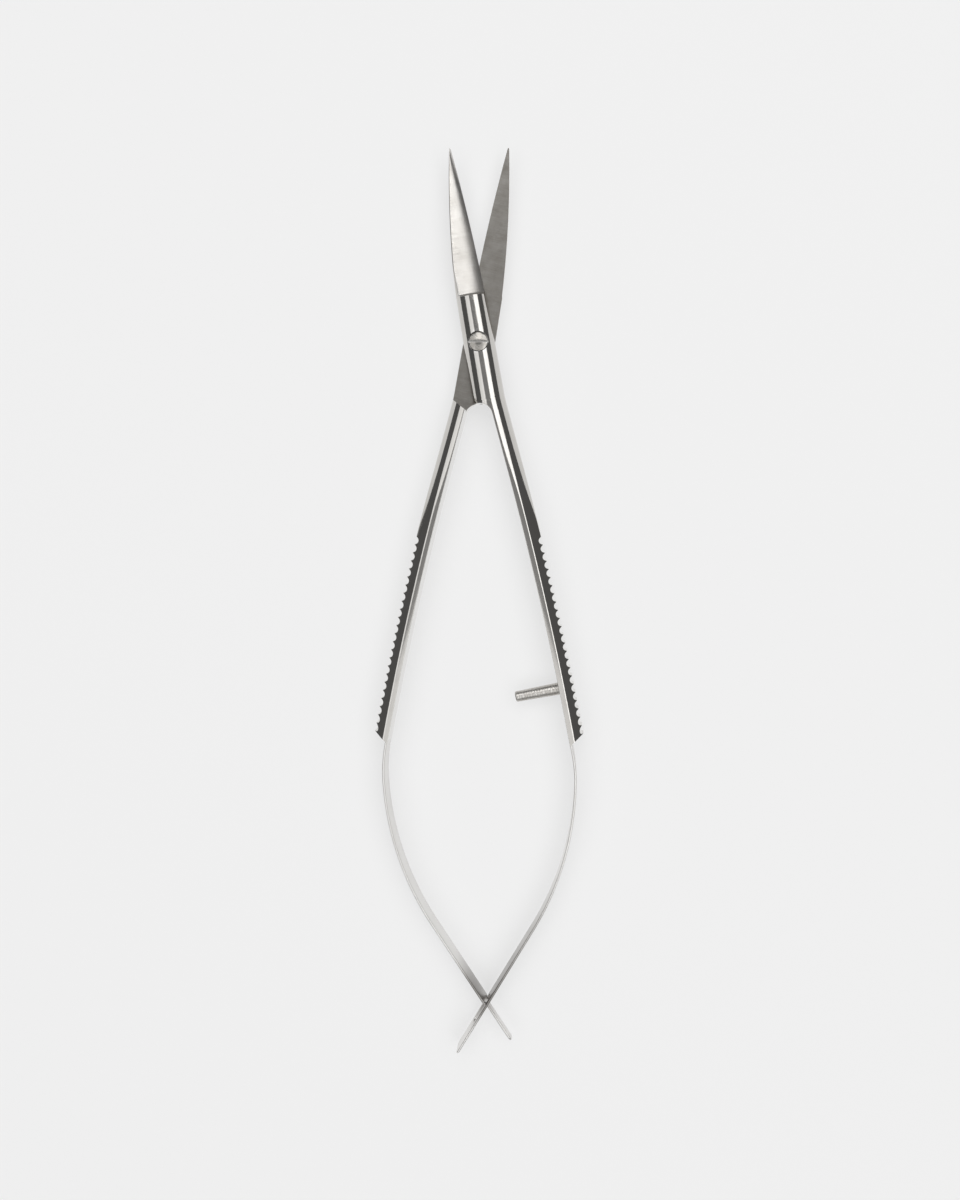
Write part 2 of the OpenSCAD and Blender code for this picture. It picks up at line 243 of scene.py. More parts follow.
SCRATCH_STRETCH = (2600.0, 60.0, 0.0)
PATCH_STRETCH = (0.45, 12.0, 1.0)
PATCH_LIMIT = 0.56
BUMP_DISTANCE = 0.00002

# The studio, in metres and degrees
FLOOR_HALF = 1.6
FLOOR_PLAIN = 0.7
BOX_HEIGHT = 0.8
BOX_ANGLES = (17.0, 47.0)
BOX_LENGTH = 1.5
FAR_BOX_Y = 0.62
FAR_BOX_SIZE = (0.46, 0.74)
NEAR_BOX_Y = -0.39
NEAR_BOX_SIZE = (0.46, 0.6)
FILL_HEIGHT = 1.3
FILL_SIZE = (2.4, 2.4)
WALL_BAND = (0.3, 0.55)
CEILING_BAND = (-0.2, 0.12)
SENSOR_HEIGHT = 36.0
VIEW_HEIGHT = 0.153
AIM_SHIFT = 0.0001


class ScissorsSettings(bpy.types.PropertyGroup):
    """Sizes, colours, light levels and camera place that the operators read."""

    steel_colour: bpy.props.FloatVectorProperty(
        name="Steel", description="Colour of the polished bar", subtype="COLOR",
        default=(0.66, 0.645, 0.62), min=0.0, max=1.0)
    ground_colour: bpy.props.FloatVectorProperty(
        name="Ground steel", description="Colour of the ground flats", subtype="COLOR",
        default=(0.25, 0.242, 0.228), min=0.0, max=1.0)
    spring_colour: bpy.props.FloatVectorProperty(
        name="Spring steel", description="Colour of the leaf springs", subtype="COLOR",
        default=(0.8, 0.79, 0.77), min=0.0, max=1.0)
    screw_colour: bpy.props.FloatVectorProperty(
        name="Screw steel", description="Colour of the screw head", subtype="COLOR",
        default=(0.46, 0.45, 0.43), min=0.0, max=1.0)
    floor_colour: bpy.props.FloatVectorProperty(
        name="Floor", description="Colour of the floor", subtype="COLOR",
        default=(0.87, 0.87, 0.87), min=0.0, max=1.0)
    head_diameter: bpy.props.FloatProperty(
        name="Screw head", description="Diameter of the screw head",
        default=0.0025, min=0.002, max=0.0029, unit="LENGTH", subtype="DISTANCE")
    strip_thickness: bpy.props.FloatProperty(
        name="Spring thickness", description="Thickness of the spring strips",
        default=0.0003, min=0.0002, max=0.0004, unit="LENGTH", subtype="DISTANCE")
    left_power: bpy.props.FloatProperty(
        name="Left light", description="Power of the left softbox",
        default=2.7, min=0.0, max=100.0, unit="POWER")
    right_power: bpy.props.FloatProperty(
        name="Right light", description="Power of the right softbox",
        default=4.5, min=0.0, max=100.0, unit="POWER")
    far_power: bpy.props.FloatProperty(
        name="Far light", description="Power of the softbox beyond the blades",
        default=2.3, min=0.0, max=100.0, unit="POWER")
    near_power: bpy.props.FloatProperty(
        name="Near light", description="Power of the softbox on the springs' side",
        default=0.5, min=0.0, max=100.0, unit="POWER")
    fill_power: bpy.props.FloatProperty(
        name="Fill light", description="Power of the wide light over the floor",
        default=6.7, min=0.0, max=100.0, unit="POWER")
    ceiling_level: bpy.props.FloatProperty(
        name="Ceiling", description="Brightness of the studio over the blades",
        default=0.25, min=0.0, max=1.0)
    tail_level: bpy.props.FloatProperty(
        name="Ceiling at the tail", description="Brightness of the studio over the springs",
        default=0.36, min=0.0, max=1.0)
    wall_level: bpy.props.FloatProperty(
        name="Walls", description="Brightness of the studio walls beside the tool",
        default=0.105, min=0.0, max=1.0)
    camera_height: bpy.props.FloatProperty(
        name="Camera height", description="Height of the camera over the lap plane",
        default=0.158, min=0.1, max=0.6, unit="LENGTH", subtype="DISTANCE")
    camera_side: bpy.props.FloatProperty(
        name="Camera side", description="Distance of the camera to the right of the tool",
        default=0.012, min=-0.03, max=0.03, unit="LENGTH", subtype="DISTANCE")
    camera_ahead: bpy.props.FloatProperty(
        name="Camera ahead", description="Distance of the camera towards the blades",
        default=0.012, min=-0.03, max=0.03, unit="LENGTH", subtype="DISTANCE")


# Shapes shared by the pieces

def between(pair, share):
    """Value that lies at a share of the way from the first of a pair to the second."""
    return pair[0] + (pair[1] - pair[0]) * share


def smooth(share):
    """Share eased at both ends: three times its square less twice its cube."""
    share = np.clip(share, 0.0, 1.0)
    return share ** 2 * (3 - 2 * share)


def eased_shares(count):
    """Shares from 0 to 1 that lie closer together at both ends: half even, half a cosine."""
    share = np.linspace(0, 1, count)
    return 0.5 * share + 0.25 * (1 - np.cos(np.pi * share))


def running_sum(values, gap):
    """Running sum, from zero, of the mean of each two neighbours times the gap between them."""
    return np.concatenate([[0.0], np.cumsum(0.5 * (values[1:] + values[:-1]) * gap)])


def bar_angle(s):
    """Turn of the arm's axis at distance s: none, then the handle's, eased back along the bow."""
    turn = np.clip((s - ELBOW + ELBOW_HALF) / (2 * ELBOW_HALF), 0.0, 1.0)
    bow = np.maximum(s - BOW_START, 0.0) / BOW_RADIUS
    return np.radians(HANDLE_ANGLE) * turn - bow


def axis_table():
    """Points of the arm's axis, also beyond the handle, where the springs are placed by it:
    the running sum of its direction, with the pivot at zero."""
    s = np.linspace(-BLADE_REACH - 1.0, BOW_END + AXIS_BEYOND, AXIS_POINTS)
    angle = bar_angle(s)
    step = np.gradient(s)
    x = np.cumsum(np.sin(angle) * step)
    y = np.cumsum(-np.cos(angle) * step)
    x -= np.interp(0.0, s, x)
    y -= np.interp(0.0, s, y)
    return s, x, y


AXIS = axis_table()


def on_arm(s, across, z):
    """Points at distance s along the axis and at a distance across it, in the arm's frame."""
    angle = bar_angle(s)
    x = np.interp(s, AXIS[0], AXIS[1]) + across * np.cos(angle)
    y = np.interp(s, AXIS[0], AXIS[2]) + across * np.sin(angle)
    return np.stack([x, y, z + 0.0 * x], axis=-1)


def placed(points, rear):
    """Turn points out by half the opening and lift them to the pivot. Rear ones are first
    turned half a turn about the long axis."""
    turn = np.radians(OPEN_ANGLE)
    x = points[..., 0] * np.cos(turn) - points[..., 1] * np.sin(turn)
    y = points[..., 0] * np.sin(turn) + points[..., 1] * np.cos(turn)
    z = points[..., 2]
    side = -1.0 if rear else 1.0
    return np.stack([side * x, y + PIVOT_Y, side * z + LAP_Z], axis=-1) * MM


def local_place(vertices, rear):
    """Undo placed and give each vertex's distance across the axis, along it and above the lap.
    The distance along is corrected by its own error a few times over."""
    side = -1.0 if rear else 1.0
    turn = np.radians(OPEN_ANGLE)
    u = side * vertices[:, 0] / MM
    v = vertices[:, 1] / MM - PIVOT_Y
    z = side * (vertices[:, 2] / MM - LAP_Z)
    x = u * np.cos(turn) + v * np.sin(turn)
    y = -u * np.sin(turn) + v * np.cos(turn)
    s = -y
    for _ in range(4):
        angle = bar_angle(s)
        dx = x - np.interp(s, AXIS[0], AXIS[1])
        dy = y - np.interp(s, AXIS[0], AXIS[2])
        s = s + dx * np.sin(angle) - dy * np.cos(angle)
    across = dx * np.cos(angle) + dy * np.sin(angle)
    return np.stack([across, s, z], axis=-1)


def tube_mesh(name, rings):
    """Closed skin over a stack of closed rings, with a flat face over each end."""
    count, around = rings.shape[:2]
    index = np.arange(count * around).reshape(count, around)
    right = np.roll(index, -1, axis=1)
    quads = np.stack([index[:-1], right[:-1], right[1:], index[1:]], axis=-1).reshape(-1, 4)
    faces = quads.tolist() + [index[0][::-1].tolist(), index[-1].tolist()]
    mesh = bpy.data.meshes.new(name)
    mesh.from_pydata(rings.reshape(-1, 3).tolist(), [], faces)
    clean_mesh(mesh)
    return mesh


def clean_mesh(mesh):
    """Merge the points that fall together, drop flattened faces and point all faces outwards."""
    build = bmesh.new()
    build.from_mesh(mesh)
    bmesh.ops.remove_doubles(build, verts=build.verts, dist=MERGE_DISTANCE * MM)
    bmesh.ops.dissolve_degenerate(build, edges=build.edges, dist=FLAT_DISTANCE * MM)
    bmesh.ops.recalc_face_normals(build, faces=build.faces)
    build.to_mesh(mesh)
    build.free()
    mesh.update()


def rounded_rings(outline, lengths, radius):
    """Round each ring's corners: a point becomes the mean of the outline within a short run
    on both sides of it, taken as the difference of the outline's running sum."""
    rings = np.empty((len(outline), lengths.shape[1], 2))
    for row, ring in enumerate(outline):
        closed = np.vstack([ring, ring[:1]])
        step = np.linalg.norm(np.diff(closed, axis=0), axis=1)
        path = np.concatenate([[0.0], np.cumsum(step)])
        total = path[-1]
        half = min(radius[row], total / 12)
        fine = np.linspace(0.0, total, ROUND_SAMPLES)
        high = lengths[row] + half
        low = lengths[row] - half
        turns_high = np.floor(high / total)
        turns_low = np.floor(low / total)
        for k in (0, 1):
            run = running_sum(np.interp(fine, path, closed[:, k]), fine[1])
            sum_high = np.interp(high - turns_high * total, fine, run)
            sum_low = np.interp(low - turns_low * total, fine, run)
            whole = (turns_high - turns_low) * run[-1]
            rings[row, :, k] = (sum_high - sum_low + whole) / (2 * half)
    return rings


# The arms

def blade_curve(y, offset, slope, radius):
    """Edge of the blade at y: a slope and a long curve inwards from its offset at the root."""
    run = y - BLADE_ROOT
    return offset - np.tan(np.radians(slope)) * run - run ** 2 / (2 * radius)


def back_x(y):
    """Back edge of the blade."""
    return -blade_curve(y, *BACK_CURVE)


def edge_x(y):
    """Cutting edge of the blade."""
    return blade_curve(y, *EDGE_CURVE)


def bar_radius_at(s):
    """Radius of the bar: fullest at the elbow, less towards the blade and along the handle."""
    towards_blade = SHANK_TAPER * np.clip((ELBOW - s) / (ELBOW + BLADE_ROOT), 0.0, 1.0)
    return BAR_RADIUS - towards_blade - HANDLE_TAPER * np.clip((s - ELBOW) / TAPER_RUN, 0.0, 1.0)


def notch_limit(s):
    """Outermost reach across the handle: the bar's radius, less a round notch at each pitch."""
    radius = bar_radius_at(s)
    order = np.clip(np.round((LAST_NOTCH - s) / NOTCH_PITCH), 0, NOTCH_COUNT - 1)
    off = s - (LAST_NOTCH - order * NOTCH_PITCH)
    centre = radius - NOTCH_DEPTH + NOTCH_RADIUS
    chord = np.sqrt(np.maximum(NOTCH_RADIUS ** 2 - off ** 2, 0.0))
    return np.where(np.abs(off) < NOTCH_RADIUS, np.minimum(radius, centre - chord), radius)


def arm_stations():
    """Distances along the arm: close together at the tip, the grinding step, the heel, the
    shoulder and every notch, and wide apart on the plain bar. The counts and short leads only
    set how close they lie."""
    tip = -BLADE_REACH + TIP_RUN * (1 - np.cos(np.linspace(0, np.pi / 2, 8)))
    blade = np.linspace(-BLADE_REACH + 0.8, -BLADE_ROOT - 0.95, 64)
    wheel = -BLADE_ROOT - STEP_RUN + STEP_RUN * np.sin(np.linspace(-1.2, np.pi / 2, 34))
    shank = np.linspace(-BLADE_ROOT + 0.02, ELBOW - 0.4, 26)
    heel = np.array([HEEL_START, 7.4, 7.5, 7.599])
    fillet = CROTCH_MIDDLE - CROTCH_RADIUS * np.sin(np.radians(np.linspace(89.9, 0, 22)))
    shoulder = np.linspace(SHOULDER_START, SHOULDER_START + SHOULDER_RUN, 16)
    straight = np.linspace(9.4, BOW_START + PLAIN_BOW, 24)
    middles = LAST_NOTCH - NOTCH_PITCH * np.arange(NOTCH_COUNT)
    offsets = NOTCH_SPREAD * np.sin(np.radians(np.linspace(-90, 90, 13)))
    lands = np.array([-NOTCH_PITCH / 2])
    notches = (middles[:, None] + np.concatenate([offsets, lands])[None, :]).ravel()
    end = np.array([BOW_END - 0.01, BOW_END])
    every = np.concatenate([tip, blade, wheel, shank, heel, fillet, shoulder, straight,
                            notches, end])
    every = np.unique(np.round(every, 4))
    return every[np.concatenate([[True], np.diff(every) > 0.004])]


def inner_limit(s):
    """Inner reach across the arm: the back edge, the full bar, the heel and crotch fillet,
    then the handle's flat."""
    inner = np.where(s < -BLADE_ROOT, back_x(-s), -bar_radius_at(s))
    heel = -BAR_RADIUS + (s - HEEL_START) / (ELBOW - HEEL_START) * HEEL_RISE
    inner = np.where((s > HEEL_START) & (s < ELBOW), heel, inner)
    turn = np.clip((CROTCH_MIDDLE - s) / CROTCH_RADIUS, 0.0, 1.0)
    fillet = FLAT_INSET - CROTCH_RADIUS + CROTCH_RADIUS * np.sqrt(1 - turn ** 2)
    inner = np.where(s >= ELBOW, fillet, inner)
    return np.where(s > CROTCH_MIDDLE, FLAT_INSET, inner)


def shoulder_limit(s):
    """Inner reach of the lower half: none on the shank, then the slanting shoulder."""
    share = np.clip((s - SHOULDER_START) / SHOULDER_RUN, 0.0, 1.0)
    return (1 - share) * bar_radius_at(s) + share * FLAT_INSET


def arm_limits(s):
    """Inner and outer reach of the upper half and inner reach of the lower half. The blade's
    edges meet in a round tip and spread a little where they join the bar."""
    y = -s
    blade = s < -BLADE_ROOT
    near = EDGE_ROUND * np.array([-1.0, -0.5, 0.0, 0.5, 1.0])
    outer = np.mean([notch_limit(s + d) for d in near], axis=0)
    outer = np.where(blade, edge_x(y), outer)
    inner = inner_limit(s)
    tip_width = edge_x(BLADE_REACH) - back_x(BLADE_REACH)
    tip_base = BLADE_REACH - tip_width / 2
    beyond = np.maximum(y - tip_base, 0)
    tip_half = np.sqrt(np.maximum((tip_width / 2) ** 2 - beyond ** 2, TIP_LEAST))
    half = np.minimum((outer - inner) / 2, np.where(y > tip_base, tip_half, NO_LIMIT))
    middle = (outer + inner) / 2
    ease = 0.5 + 0.5 * np.cos(np.pi * np.clip((y - BLADE_ROOT) / ROOT_RUN, 0.0, 1.0))
    inner = np.where(blade, middle - half - BACK_SPREAD * ease, inner)
    outer = np.where(blade, middle + half + EDGE_SPREAD * ease, outer)
    shoulder = np.where(blade, outer, np.minimum(shoulder_limit(s), outer))
    return inner, outer, shoulder


def blade_top(x, s, inner, outer):
    """Height of the blade's face: a fall that grows with a power of the distance from the back
    edge, lower towards the tip, less a narrow bevel along the back edge, with a short hollow
    up to the bar at the root."""
    y = -s
    along = np.clip((y - BLADE_ROOT) / (BLADE_REACH - BLADE_ROOT), 0.0, 1.0)
    share = np.clip((x - inner) / (outer - inner), 0.0, 1.0)
    fall = FACE_EVEN * share + (1 - FACE_EVEN) * share ** between(FACE_POWER, along)
    crown = LAP_HALF + EDGE_LAND + between(FACE_THICKNESS, along) * (1 - fall)
    width = between(BEVEL_WIDTH, along)
    crown = crown - BEVEL_SLOPE * np.clip(width - (x - inner), 0.0, width)
    off = np.clip((y - BLADE_ROOT - STEP_RUN) / STEP_RUN, -1.0, 0.0)
    hollow = crown + STEP_RISE * (1 - np.sqrt(1 - off ** 2))
    return np.where(y < BLADE_ROOT, NO_LIMIT, hollow)


def handle_top(x):
    """Height of the pressed handle: the running sum of its slope, which is slight near the
    inner wall, quick over a narrow ridge and steady on the broad outer facet."""
    fine = np.linspace(0.0, FACET_ACROSS[-1], 441)
    slope = np.interp(fine, FACET_ACROSS, np.tan(np.radians(FACET_SLOPE)))
    drop = running_sum(slope, np.diff(fine))
    return np.interp(x, fine, PRESSED_HEIGHT - drop + np.min(drop))


def wall_points(x0, z0, x1, z1, share):
    """Points at shares of the way along a straight wall, one row for each section."""
    return np.stack([x0[:, None] + (x1 - x0)[:, None] * share,
                     z0[:, None] + (z1 - z0)[:, None] * share], axis=-1)


def arm_outline(s, radius):
    """Closed outline of each section in six parts: inner wall, top of the bar, outer wall,
    underside of the bar, shoulder wall and lap flat."""
    inner, outer, shoulder = arm_limits(s)
    blade = (s < -BLADE_ROOT)[:, None]
    split = (s < SHOULDER_START)[:, None]
    pressed = smooth((s - PRESS_START) / PRESS_RUN)[:, None]

    def bar_height(x):
        """Height of the bar's top at x, round on the shank and pressed on the handle."""
        round_z = np.sqrt(np.maximum(radius[:, None] ** 2 - x ** 2, 0.0))
        return round_z + (handle_top(x) - round_z) * pressed

    across = eased_shares(60)
    start, stop, low = (np.arccos(np.clip(limit / radius, -1, 1))
                        for limit in (inner, outer, shoulder))
    angle = start[:, None] + (stop - start)[:, None] * across
    flat_x = inner[:, None] + (outer - inner)[:, None] * across
    top_x = np.where(blade, flat_x, radius[:, None] * np.cos(angle))
    bar_z = bar_height(top_x)
    face = blade_top(top_x, s[:, None], inner[:, None], outer[:, None])
    top_z = np.where(blade, np.minimum(bar_z, face), bar_z)
    top_z = np.maximum(top_z, np.where(blade, LAP_HALF + LEAST_THICKNESS, LAP_HALF))
    low_angle = stop[:, None] + (low - stop)[:, None] * eased_shares(40)
    low_x = np.where(split, outer[:, None], radius[:, None] * np.cos(low_angle))
    low_z = np.where(split, LAP_HALF, -bar_height(low_x))
    wall = np.linspace(0, 1, 9)
    lap = np.full_like(s, LAP_HALF)
    return [
        wall_points(inner, lap, inner, top_z[:, 0], wall),
        np.stack([top_x, top_z], axis=-1),
        wall_points(outer, top_z[:, -1], low_x[:, 0], low_z[:, 0], wall),
        np.stack([low_x, low_z], axis=-1),
        wall_points(low_x[:, -1], low_z[:, -1], low_x[:, -1], lap, wall),
        wall_points(low_x[:, -1], lap, inner, lap, np.linspace(0, 1, 17)),
    ]


def arm_rings():
    """Sections of the arm along its axis. Points are read off each outline, close together at
    its corners, the corners are rounded, and the sections slant towards the handle's end."""
    s = arm_stations()
    radius = bar_radius_at(s)
    parts = arm_outline(s, radius)
    outline = np.concatenate([part[:, :-1] for part in parts], axis=1)
    closed = np.concatenate([outline, outline[:, :1]], axis=1)
    step = np.linalg.norm(np.diff(closed, axis=1), axis=2)
    path = np.concatenate([np.zeros((len(s), 1)), np.cumsum(step, axis=1)], axis=1)
    starts = np.cumsum([0] + [part.shape[1] - 1 for part in parts])
    rounding = np.where(s < -BLADE_ROOT, BLADE_ROUND, EDGE_ROUND)
    lengths = []
    for first, last, count in zip(starts[:-1], starts[1:], PART_POINTS):
        begin = path[:, first, None]
        length = path[:, last, None] - begin
        lead = np.minimum(rounding[:, None], length / 4)
        inside = lead * CORNER_LEAD + (length - 2 * CORNER_LEAD * lead) * eased_shares(count)
        lengths += [begin + lead * (0.0, 0.5, 1.0), begin + inside,
                    begin + length - lead * (1.0, 0.5)]
    section = rounded_rings(outline, np.concatenate(lengths, axis=1), rounding)
    share = smooth((s - (BOW_END - END_RUN)) / END_RUN)
    slant = share[:, None] * np.tan(np.radians(END_SLOPE))
    along = s[:, None] + slant * (radius[:, None] - section[..., 0])
    return on_arm(along, section[..., 0], section[..., 1])


def lathe_mesh(name, profile, sides=96):
    """Solid of revolution about the pivot: each profile point of radius and height over the
    lap is carried round a circle."""
    angle = np.linspace(0, 2 * np.pi, sides, endpoint=False)
    radius, height = np.asarray(profile).T
    rings = np.stack([
        radius[:, None] * np.cos(angle),
        PIVOT_Y + radius[:, None] * np.sin(angle),
        LAP_Z + height[:, None] + 0 * angle,
    ], axis=-1) * MM
    return tube_mesh(name, rings)


def driver_slot(length):
    """Upright block over the pivot that cuts the screwdriver slot."""
    corner = np.array([(-1, -1), (1, -1), (1, 1), (-1, 1)]) / 2 * (length, DRIVER_SLOT_WIDTH)
    rings = np.stack([
        np.column_stack([corner + (0.0, PIVOT_Y), np.full(4, LAP_Z + level)])
        for level in (DRIVER_SLOT_FLOOR, DRIVER_SLOT_TOP)
    ]) * MM
    return tube_mesh("driver_slot", rings)


def cut_away(mesh, cutters):
    """Take the cutters out of a closed mesh and drop them."""
    collection = bpy.context.scene.collection
    body = bpy.data.objects.new("cut_body", mesh)
    collection.objects.link(body)
    tools = []
    for cutter in cutters:
        tool = bpy.data.objects.new("cutter", cutter)
        collection.objects.link(tool)
        tools.append(tool)
        change = body.modifiers.new("cut", "BOOLEAN")
        change.operation = "DIFFERENCE"
        change.solver = "EXACT"
        change.object = tool
    graph = bpy.context.evaluated_depsgraph_get()
    graph.update()
    result = bpy.data.meshes.new_from_object(body.evaluated_get(graph))
    for item in [body, *tools]:
        bpy.data.objects.remove(item)
    if not result.polygons:
        raise RuntimeError(f"cutting left nothing of {mesh.name}")
    result.name = mesh.name
    return result


def new_piece(name, mesh, materials, smooth_angle=38.0):
    """Put a mesh into the scene as a smooth piece whose sharp folds stay crisp."""
    mesh.materials.clear()
    for material in materials:
        mesh.materials.append(material)
    mesh.shade_smooth()
    mesh.set_sharp_from_angle(angle=np.radians(smooth_angle))
    piece = bpy.data.objects.new(name, mesh)
    bpy.context.scene.collection.objects.link(piece)
    return piece


def vertex_places(mesh):
    """Positions of all vertices as an array."""
    flat = np.empty(len(mesh.vertices) * 3)
    mesh.vertices.foreach_get("co", flat)
    return flat.reshape(-1, 3)


def face_values(mesh, name):
    """A vector property of all faces as an array."""
    flat = np.empty(len(mesh.polygons) * 3)
    mesh.polygons.foreach_get(name, flat)
    return flat.reshape(-1, 3)


def store_place(mesh, rear):
    """Keep two things at each vertex: its distance across the arm, along it and above the
    lap, and how sharply its faces fold, from 0 at 10 degrees to 1 at 40."""
    places = local_place(vertex_places(mesh), rear)
    layer = mesh.attributes.new("arm_place", "FLOAT_VECTOR", "POINT")
    layer.data.foreach_set("vector", (places * MM).ravel())
    edges = np.empty(len(mesh.loops), dtype=np.int32)
    mesh.loops.foreach_get("edge_index", edges)
    sizes = np.empty(len(mesh.polygons), dtype=np.int32)
    mesh.polygons.foreach_get("loop_total", sizes)
    face = np.repeat(np.arange(len(mesh.polygons)), sizes)
    order = np.argsort(edges, kind="stable")
    edges = edges[order]
    face = face[order]
    pair = np.nonzero(edges[1:] == edges[:-1])[0]
    normal = face_values(mesh, "normal")
    cosine = np.einsum("ij,ij->i", normal[face[pair]], normal[face[pair + 1]])
    fold = np.degrees(np.arccos(np.clip(cosine, -1.0, 1.0)))
    ends = np.empty(len(mesh.edges) * 2, dtype=np.int32)
    mesh.edges.foreach_get("vertices", ends)
    ends = ends.reshape(-1, 2)[edges[pair]]
    sharp = np.zeros(len(mesh.vertices))
    np.maximum.at(sharp, ends[:, 0], fold)
    np.maximum.at(sharp, ends[:, 1], fold)
    worn = mesh.attributes.new("worn_edge", "FLOAT", "POINT")
    worn.data.foreach_set("value", np.clip((sharp - FOLD_START) / FOLD_RUN, 0.0, 1.0))


def choose_finishes(mesh, rear):
    """Number the finish of each face by where it lies: 0 for the bar, 1 for the blade faces
    that look up and 2 for the lap flat, which ends before the handle."""
    middle = local_place(face_values(mesh, "center"), rear)
    along = middle[:, 1]
    height = middle[:, 2]
    side = -1.0 if rear else 1.0
    up = side * face_values(mesh, "normal")[:, 2]
    finish = np.zeros(len(mesh.polygons), dtype=np.int32)
    finish[(along < -BLADE_ROOT - FINISH_MARGIN) & (up > FACE_UP)] = 1
    on_lap = (height > LAP_BAND[0]) & (height < LAP_BAND[1]) & (along < LAP_END)
    finish[(up < LAP_DOWN) & on_lap] = 2
    mesh.polygons.foreach_set("material_index", finish)


class SCISSORS_OT_arms(bpy.types.Operator):
    """Build both arms from the sections of the split bar and cut the screw's places."""

    bl_idname = "scissors.arms"
    bl_label = "Arms"

    def execute(self, context):
        settings = context.scene.scissors
        bar = steel_material("polished_bar", settings.steel_colour, FINISHES["polished_bar"])
        blade = steel_material("ground_blade", settings.steel_colour, FINISHES["ground_blade"])
        flat = steel_material("ground_flat", settings.ground_colour, FINISHES["ground_flat"])
        rings = arm_rings()
        seat = settings.head_diameter / MM / 2 + HEAD_CLEARANCE
        for name, rear in (("front_arm", False), ("rear_arm", True)):
            mesh = tube_mesh(name + "_bar", placed(rings, rear))
            hole = NECK_HOLES[name]
            cutters = [lathe_mesh("neck_hole", [(hole, -CUT_HALF), (hole, CUT_HALF)])]
            if not rear:
                cutters.insert(0, lathe_mesh("head_hole", [(seat, HEAD_SEAT), (seat, CUT_TOP)]))
                cutters.append(driver_slot(DRIVER_SLOT_IN_ARM))
            mesh = cut_away(mesh, cutters)
            store_place(mesh, rear)
            piece = new_piece(name + "_bar", mesh, [bar, blade, flat])
            choose_finishes(mesh, rear)
            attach(piece, name)
            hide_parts(name)
        return {"FINISHED"}


# The springs

def strip_path(lean, tail):
    """Middle line of a leaf in the arm's frame with its direction at each point: along the
    handle's flat, then two round curves and a straight tail."""
    bend = BOW_END + BEND_DISTANCE
    root = on_arm(np.array([bend]), np.array([FLAT_INSET + LEAF_OFFSET]), 0.0)[0, :2]
    root_angle = bar_angle(np.array([bend]))[0]
    lead = np.linspace(-LEAF_LEAD, 0.0, 14)[:-1]
    start = root_angle + np.radians(lean)
    first = np.radians(FIRST_TURN)
    second = np.radians(SECOND_TURN)
    first_run = np.linspace(0, 1, 26)
    second_run = np.linspace(0, 1, 60)[1:]
    tail_run = np.linspace(0, tail, 70)[1:]
    ease = np.clip((lead + LEAD_EASE) / LEAD_EASE, 0, 1)
    angle = np.concatenate([
        root_angle + (start - root_angle) * ease,
        start - first * first_run,
        start - first - second * second_run,
        np.full(len(tail_run), start - first - second),
    ])
    distance = np.concatenate([
        lead,
        FIRST_RADIUS * first * first_run,
        FIRST_RADIUS * first + SECOND_RADIUS * second * second_run,
        CURVES + tail_run,
    ])
    step = np.diff(distance)
    middle = 0.5 * (angle[1:] + angle[:-1])
    x = np.concatenate([[0.0], np.cumsum(np.sin(middle) * step)])
    y = np.concatenate([[0.0], np.cumsum(-np.cos(middle) * step)])
    at = len(lead)
    return distance, np.stack([x - x[at] + root[0], y - y[at] + root[1]], axis=1), angle


def strip_mesh(name, path, width, thickness, rear):
    """Spring strip along a path: a thin rectangle with round edges and a changing width."""
    line, angle = path[1:]
    corner = np.linspace(0, np.pi / 2, 5)
    radius = LEAF_ROUND * thickness
    ring = []
    for turn, (side_x, side_z) in enumerate([(1, 1), (-1, 1), (-1, -1), (1, -1)]):
        a = corner + turn * np.pi / 2
        x = side_x * (thickness / 2 - radius) + radius * np.cos(a)
        z = side_z * (width / 2 - radius)[:, None] + radius * np.sin(a)[None, :]
        ring.append(np.stack([np.broadcast_to(x, z.shape), z], axis=-1))
    ring = np.concatenate(ring, axis=1)
    rings = np.stack([
        line[:, 0, None] + ring[..., 0] * np.cos(angle)[:, None],
        line[:, 1, None] + ring[..., 0] * np.sin(angle)[:, None],
        ring[..., 1],
    ], axis=-1)
    return tube_mesh(name, placed(rings, rear))


def slot_cutter(middle, angle):
    """Block with round ends that cuts the slot through the strip."""
    half_run = (SLOT_BEFORE + SLOT_AFTER) / 2 - SLOT_CORNER
    half_width = SLOT_WIDTH / 2 - SLOT_CORNER
    ring = []
    for quarter, (run, rise) in enumerate([(1, 1), (-1, 1), (-1, -1), (1, -1)]):
        a = np.linspace(0, np.pi / 2, 7) + quarter * np.pi / 2
        ring.append(np.stack([run * half_run + SLOT_CORNER * np.cos(a),
                              rise * half_width + SLOT_CORNER * np.sin(a)], axis=-1))
    ring = np.concatenate(ring)
    rings = []
    for reach in (-SLOT_REACH, SLOT_REACH):
        x = middle[0] + reach * np.cos(angle) + ring[:, 0] * np.sin(angle)
        y = middle[1] + reach * np.sin(angle) - ring[:, 0] * np.cos(angle)
        rings.append(np.stack([x, y, ring[:, 1]], axis=-1))
    return tube_mesh("slot", placed(np.stack(rings), False))


def leaf_width(distance):
    """Width of a leaf: an even fall over both curves, then steady."""
    return between(LEAF_WIDTH, np.clip(distance / CURVES, 0.0, 1.0))


def end_loss(distance, run, loss):
    """Width lost over a short run at the leaf's end, growing with the square of the way."""
    return loss * np.clip((distance - distance[-1] + run) / run, 0, 1) ** 2


def place_strip(mesh, name, steel, arm, node):
    """Make a strip a piece: store its places along the arm, give it its steel, bake its transform
    and hide the CAD node it replaces.
    """
    store_place(mesh, arm == "rear_arm")
    piece = new_piece(name, mesh, [steel])
    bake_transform(piece)
    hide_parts(node)


